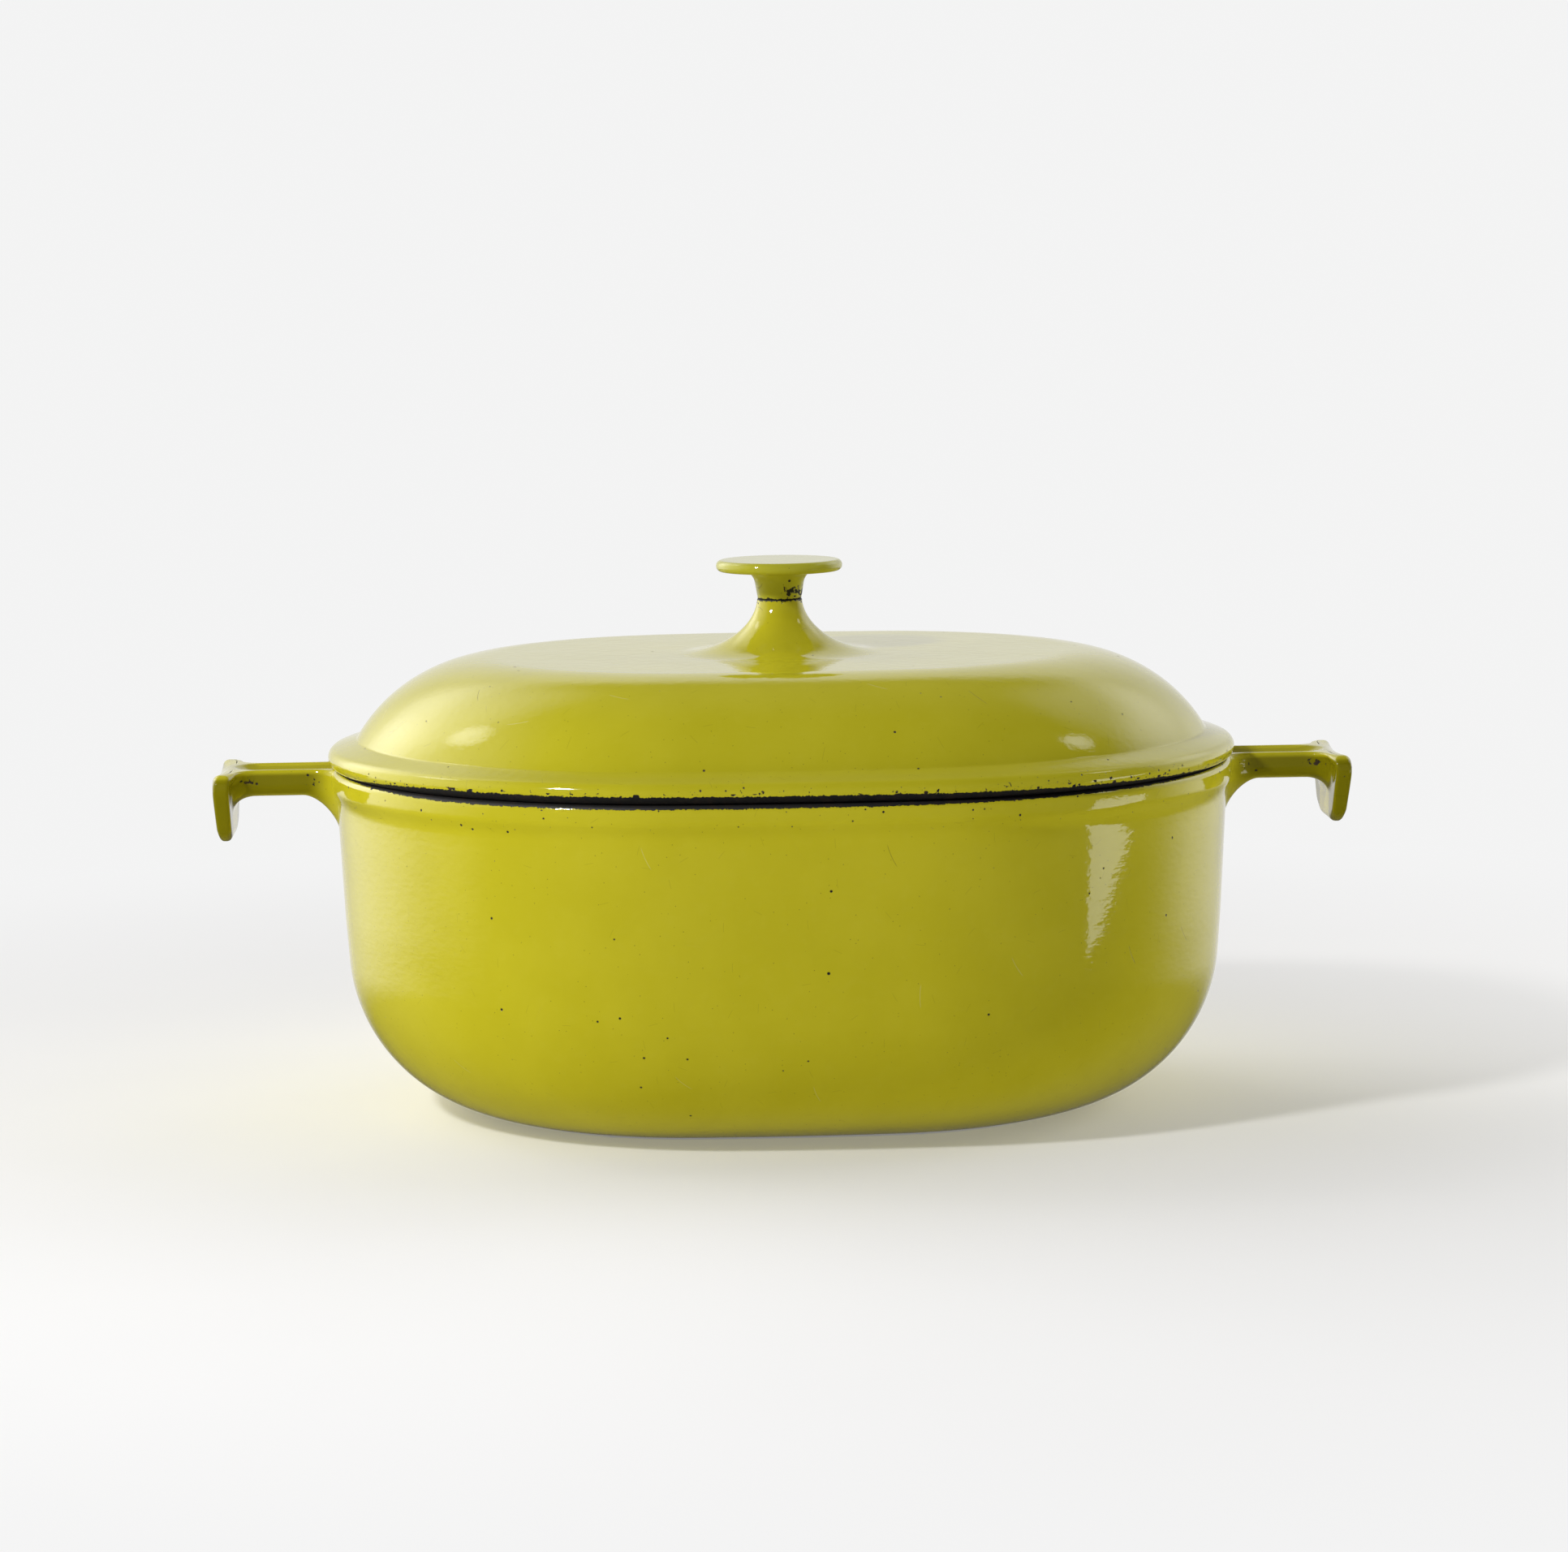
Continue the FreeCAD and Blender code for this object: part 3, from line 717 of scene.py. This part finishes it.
def scratches(finish, vector, about):
    # Short lines: in each flat cell the offset from the cell's point is turned by a random angle, and
    # the line is where the turned offset is thin across and not longer than longest along.
    size, longest, width = about["spacing"], about["longest"], about["width"]
    distance, place = finish.cells(size, vector, flat=True)
    offset = finish.add("ShaderNodeVectorMath", {"operation": "SUBTRACT"},
                        {0: place, 1: distance.output("Position")})
    x, y, _ = finish.split(finish.scaled(offset, (size,) * 3))
    chance, angle, third = finish.split(distance.output("Color"))
    turn = angle * math.pi
    lengthwise = x * turn.cosine() + y * turn.sine()
    across = y * turn.cosine() - x * turn.sine() + lengthwise * lengthwise * 0.02
    line = abs(across).step(width, width * 0.4) * abs(lengthwise).step(longest, longest * 0.7)
    return line * (chance > 0.45), third


def enamelFinish(name, flatMap, nibbles, tint):
    # Glossy fired enamel: colour, pooled glaze, pits, chips down to iron, scratches and orange peel, with
    # painted shade blended in where the handles ask for it.
    # Nibbles is the share of cells along the enamel's edge that have lost a bite of it.
    f = Finish(name)
    edge, inside, wear = f.attribute("enamel"), f.attribute("inside"), f.attribute("wear")
    cloud = f.noise(26, 3)
    grain = f.noise(3.2, 3)
    ragged = (f.noise(2.4, 3) - 0.5) * 0.9 + (f.noise(0.6, 3) - 0.5) * 1.1
    bare = (edge + ragged).step(0.07, -0.07)

    chip = (f.noise(1.7, 3, roughness=0.65) + wear * 0.26).step(0.835, 0.855)
    chipKind = f.noise(2.6)
    chip = chip.most(spots(f, marks["dot"], wear * 0.5))
    nibbled = spots(f, marks["nibble"], nibbles) * edge.step(1.0, 0.8)
    pitted = spots(f, marks["pit"], marks["pit"]["share"])
    speck, _ = f.cells(marks["speck"]["spacing"])
    speckChance, _, _ = f.split(speck.output("Color"))
    specks = ((speckChance < marks["speck"]["share"])
              * speck.step(marks["speck"]["outer"], marks["speck"]["inner"]))
    line, lineKind = scratches(f, flatMap(f), marks["scratch"])
    fine, _ = scratches(f, flatMap(f), marks["fineScratch"])

    broken = bare.most(chip).most(nibbled).most(pitted)
    colour = f.blend(cloud.step(0.35, 0.7), enamel["thick"], enamel["colour"])
    colour = f.blend(grain.step(0.5, 0.8) * 0.12, colour, enamel["thin"])
    colour = f.scaled(colour, tint)
    colour = f.blend(specks * 0.6, colour, enamel["rust"])
    colour = f.blend(line * (lineKind > 0.5) * 0.55 + fine * 0.3, colour, enamel["rust"])
    colour = f.blend(line * (lineKind < 0.25) * 0.25, colour, enamel["scuff"])
    # Painted shade on the handles' sides, undersides and trough, blended towards dark olive.
    colour = f.blend(f.attribute("paintedShade"), colour, enamel["paintedShadeColour"])
    colour = f.blend(inside, colour, enamel["lining"])
    metal = f.blend(chipKind.step(0.45, 0.7) * (0.9 - bare * 0.7), enamel["iron"], enamel["rust"])
    colour = f.blend(broken, colour, metal)
    roughness = enamel["roughness"] + (grain - 0.5) * 0.05 + line * 0.15 + broken * 0.5

    ripple = f.noise(3.2, 2, (1.1, 1.1, 0.6)) * 0.055 + f.noise(1.6, 1, (5, 5, 0.6)) * 0.012
    peel = f.noise(1.3, 2)
    height = (ripple + peel * 0.005 + f.noise(14, 1) * 0.02) * (1 - bare)
    height = height + f.noise(0.5, 3) * bare * 0.03 - broken * 0.10 - line * 0.02
    return f.close(height, mm, {"Base Color": colour, "Roughness": roughness, "IOR": 1.52})


def wrapMap(f):
    # Millimetres round and up the piece, from its own UV map.
    return f.scaled(f.add("ShaderNodeUVMap", {"uv_map": "wrap"}, {}), (1 / mm,) * 3)


def planMap(f):
    # Millimetres seen from above.
    return f.where


def steelFinish(name, colour, roughness, dull):
    # Plated steel with fine turning marks round the upright axis and dull stains.
    f = Finish(name)
    x, y, z = f.split(f.where)
    radius = (x * x + y * y) ** 0.5
    marks = (radius * 26 + z * 9).sine() * 0.5 + 0.5
    stain = f.noise(2.2, 4)
    shade = f.blend(stain.step(0.45, 0.7), colour, dull)
    rough = roughness + marks * 0.08 + stain * 0.18
    return f.close(marks * 0.006 + f.noise(0.4, 3) * 0.01, mm,
                   {"Base Color": shade, "Roughness": rough, "Metallic": 1.0})


potEnamel = enamelFinish("potEnamel", wrapMap, 0.10, (1.0, 1.0, 1.0))
lidEnamel = enamelFinish("lidEnamel", planMap, 0.55, (0.97, 0.98, 1.1))
knobEnamel = enamelFinish("knobEnamel", planMap, 0.3, (0.86, 0.92, 1.9))
for piece, finish, slot, node, body in (
        (potBody, potEnamel, "pot_enamel", "casserole_pot", "pot"),
        (handleRight, potEnamel, "pot_enamel", "casserole_pot", "pot"),
        (handleLeft, potEnamel, "pot_enamel", "casserole_pot", "pot"),
        (lidBody, lidEnamel, "lid_enamel", "lid", "lid"),
        (knobBody, knobEnamel, "knob_enamel", "knob", "lid")):
    piece.data.materials.append(finish)
    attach(piece, body)
    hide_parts(node)

steels = {
    "knob_screw": ("screwSteel", (0.55, 0.54, 0.51), 0.28, (0.30, 0.27, 0.23)),
    "screw_washer": ("washerSteel", (0.50, 0.49, 0.47), 0.34, (0.27, 0.25, 0.22)),
    "lock_washer": ("springSteel", (0.24, 0.235, 0.23), 0.38, (0.12, 0.10, 0.09)),
}
for node, values in steels.items():
    steel = steelFinish(*values)
    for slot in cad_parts[node].material_slots:
        slot.material = steel
print("finishes made")


stage = {"radius": 6.0, "colour": (0.80, 0.79, 0.78), "fadeFrom": 150, "fadeTo": 650, "glow": 0.20}
room = {
    "wall": 0.84, "front": 0.08, "below": 0.12, "seen": 0.90,
    "wallTop": 0.12,         # what is left of the wall's brightness high up
    # where each change starts and ends, by the Y or Z part of a direction of length 1
    "backward": (0.0, 0.55), "ground": (-0.32, -0.14), "high": (0.48, 0.66),
    # soft glows: azimuth, elevation and half width in degrees, brightness
    "glows": ((-112, 14, 52, 1.3), (-136, 14, 18, 0.8), (126, 10, 34, 0.45),
              (-142, 36, 25, 1.15), (132, 36, 24, 0.7), (-118, 43, 8, 3.0), (97, 44, 6, 3.0)),
}


def makeFloor():
    # A flat disc: rings of points at radii that grow with the square of their number.
    angle = np.arange(64) / 64 * 2 * math.pi
    radius = stage["radius"] / mm * (np.arange(12) / 11)[:, None] ** 2
    flat = np.stack([radius * np.cos(angle), radius * np.sin(angle), 0 * radius * angle], -1)
    below = flat[::-1] - [[[0, 0, 20]]]
    floor = gridPiece("floor", np.concatenate([flat, below]), {},
                      np.linspace(0, 1, 65), np.linspace(0, 1, 24))
    f = Finish("paleFloor")
    x, y, _ = f.split(f.where)
    far = ((x * x + y * y) ** 0.5).step(stage["fadeFrom"], stage["fadeTo"])
    tone = f.blend(f.noise(240, 3).step(0.3, 0.7), stage["colour"], tuple(0.97 * c for c in stage["colour"]))
    floor.data.materials.append(f.close(f.noise(3, 3) * 0.02, mm, {
        "Base Color": f.blend(far, tone, (0, 0, 0)), "Roughness": 0.9, "Specular IOR Level": 0.0,
        "Emission Color": f.blend(far, (stage["glow"],) * 3, (room["seen"],) * 3), "Emission Strength": 1.0}))
    floor.visible_glossy = False


makeFloor()

# Lights stand round the object: azimuth is from the camera's side towards the right, in degrees.
lights = {
    "rightFill": {"azimuth": 104, "distance": 0.9, "height": 0.34, "aim": 0.08, "size": (0.5, 0.5),
                  "radiance": 2.3, "hidden": True},
    "lamp": {"azimuth": -47, "distance": 0.95, "height": 0.78, "aim": 0.08, "size": (0.13, 0.13),
             "radiance": 128.0},
    "overhead": {"azimuth": 160, "distance": 0.5, "height": 1.1, "aim": 0.1, "size": (1.2, 0.8),
                 "radiance": 0.40, "hidden": True},
}


def makeLight(name, about):
    # A flat light whose power is its radiance times pi times the area of its width by its height.
    turn = math.radians(about["azimuth"])
    place = Vector((math.sin(turn), -math.cos(turn), 0)) * about["distance"]
    place.z = about["height"]
    data = bpy.data.lights.new(name, "AREA")
    data.shape = "ELLIPSE" if about["size"][0] == about["size"][1] else "RECTANGLE"
    data.size, data.size_y = about["size"]
    area = about["size"][0] * about["size"][1]
    data.energy = about["radiance"] * area * math.pi
    lamp = bpy.data.objects.new(name, data)
    lamp.location = place
    lamp.rotation_euler = (place - Vector((0, 0, about["aim"]))).to_track_quat("Z", "Y").to_euler()
    lamp.visible_camera = False
    lamp.visible_glossy = "hidden" not in about
    bpy.context.scene.collection.objects.link(lamp)


for name, about in lights.items():
    makeLight(name, about)

window = {
    "place": (342, -131), "facing": (110, -100),       # where it stands and what it turns towards
    "top": 82, "taper": 66, "foot": -6,
    "wide": 104, "lean": -50,
    "sliver": 0.01,          # the share of the width that is left at the foot
    "radiance": 2.8,
}


def makeWindow():
    # A bright panel. Below its taper height the width falls off evenly and the middle leans over.
    height = np.append(window["top"], np.linspace(window["taper"], window["foot"], 11))[:, None, None]
    down = np.clip((window["taper"] - height) / (window["taper"] - window["foot"]), 0, 1)
    across = np.array([-0.5, 0.5, 0.5, -0.5])[None, :, None]
    back = np.array([0, 0, 1, 1])[None, :, None]
    facing = np.array([*window["place"], 0]) - [*window["facing"], 0]
    facing = facing / np.linalg.norm(facing)
    sideways = np.array([-facing[1], facing[0], 0])
    width = window["wide"] * (1 + window["sliver"] - down)
    points = (np.array([*window["place"], 0]) + sideways * (across * width + window["lean"] * down)
              + facing * back + np.array([0, 0, 1]) * height)
    panel = gridPiece("windowPanel", points, {}, np.linspace(0, 1, 5), np.linspace(0, 1, 12))
    f = Finish("windowGlow")
    level = window["radiance"] * (0.9 + 0.2 * f.noise(30))
    glow = f.add("ShaderNodeCombineXYZ", {}, {0: level, 1: level, 2: level})
    panel.data.materials.append(f.close(f.noise(30), mm, {
        "Base Color": (0, 0, 0, 1), "Roughness": 1.0, "Specular IOR Level": 0.0,
        "Emission Color": glow, "Emission Strength": 1.0}))
    panel.visible_camera = panel.visible_diffuse = panel.visible_shadow = False


makeWindow()


def makeRoom():
    # A bright wall behind the object, a dim room in front of it, soft glows round them, and a plain pale
    # ground for what the camera sees directly.
    world = bpy.data.worlds.new("room")
    bpy.context.scene.world = world
    world.use_nodes = True
    tree = world.node_tree
    tree.nodes.clear()

    def add(kind, sockets, **settings):
        node = tree.nodes.new(kind)
        for key, value in settings.items():
            setattr(node, key, value)
        for key, value in sockets.items():
            if isinstance(value, bpy.types.NodeSocket):
                tree.links.new(value, node.inputs[key])
            else:
                node.inputs[key].default_value = value
        return node.outputs

    def change(value, places, levels):
        return add("ShaderNodeMapRange", {"Value": value, "From Min": places[0], "From Max": places[1],
                                          "To Min": levels[0], "To Max": levels[1]},
                   interpolation_type="SMOOTHSTEP")[0]

    way = add("ShaderNodeTexCoord", {})["Generated"]
    parts = add("ShaderNodeSeparateXYZ", {"Vector": way})
    behind = change(parts["Y"], room["backward"], (room["front"], room["wall"]))
    lower = change(parts["Z"], room["ground"], (room["below"], 1.0))
    upper = change(parts["Z"], room["high"], (1.0, room["wallTop"]))
    level = add("ShaderNodeMath", {0: behind, 1: upper}, operation="MULTIPLY")[0]
    for azimuth, elevation, width, strength in room["glows"]:
        turn, rise = math.radians(azimuth), math.radians(elevation)
        middle = (math.sin(turn) * math.cos(rise), -math.cos(turn) * math.cos(rise), math.sin(rise))
        near = add("ShaderNodeVectorMath", {0: way, 1: middle}, operation="DOT_PRODUCT")["Value"]
        glow = change(near, (math.cos(math.radians(width)), 1.0), (0.0, strength))
        level = add("ShaderNodeMath", {0: level, 1: glow}, operation="ADD")[0]
    level = add("ShaderNodeMath", {0: level, 1: lower}, operation="MULTIPLY")[0]
    seen = add("ShaderNodeLightPath", {})["Is Camera Ray"]
    strength = add("ShaderNodeMix", {0: seen, 2: level, 3: room["seen"]})[0]
    light = add("ShaderNodeBackground", {"Color": (1, 1, 1, 1), "Strength": strength})[0]
    add("ShaderNodeOutputWorld", {"Surface": light})


makeRoom()

view = {
    "lens": 107.85,
    "distance": 1591.66,
    "pitch": math.radians(7.03),
    "roll": math.radians(0.75),
    "yaw": math.radians(2.30),
    "right": -0.815, "up": 6.38,     # how far the rim's centre stands off the middle of the frame
}


def makeCamera():
    # Looks down by pitch at the rim's centre, turned by roll about its own axis and by yaw about Z.
    forward = Vector((0, math.cos(view["pitch"]), -math.sin(view["pitch"])))
    level, upright = Vector((1, 0, 0)), Vector((0, math.sin(view["pitch"]), math.cos(view["pitch"])))
    c, s = math.cos(view["roll"]), math.sin(view["roll"])
    right, up = c * level - s * upright, s * level + c * upright
    aim = Vector((0, 0, rimHeight))
    place = aim - view["right"] * right - view["up"] * up - view["distance"] * forward
    turn = Matrix.Rotation(-view["yaw"], 4, "Z")
    axes = Matrix((right, up, -forward)).transposed().to_4x4()
    camera = bpy.data.objects.new("camera", bpy.data.cameras.new("camera"))
    camera.data.lens = view["lens"]
    camera.data.clip_start, camera.data.clip_end = 0.05, 50
    camera.matrix_world = turn @ Matrix.Translation(place * mm) @ axes
    bpy.context.scene.collection.objects.link(camera)
    bpy.context.scene.camera = camera


makeCamera()
bpy.context.scene.view_settings.view_transform = "Standard"
print("stage set")
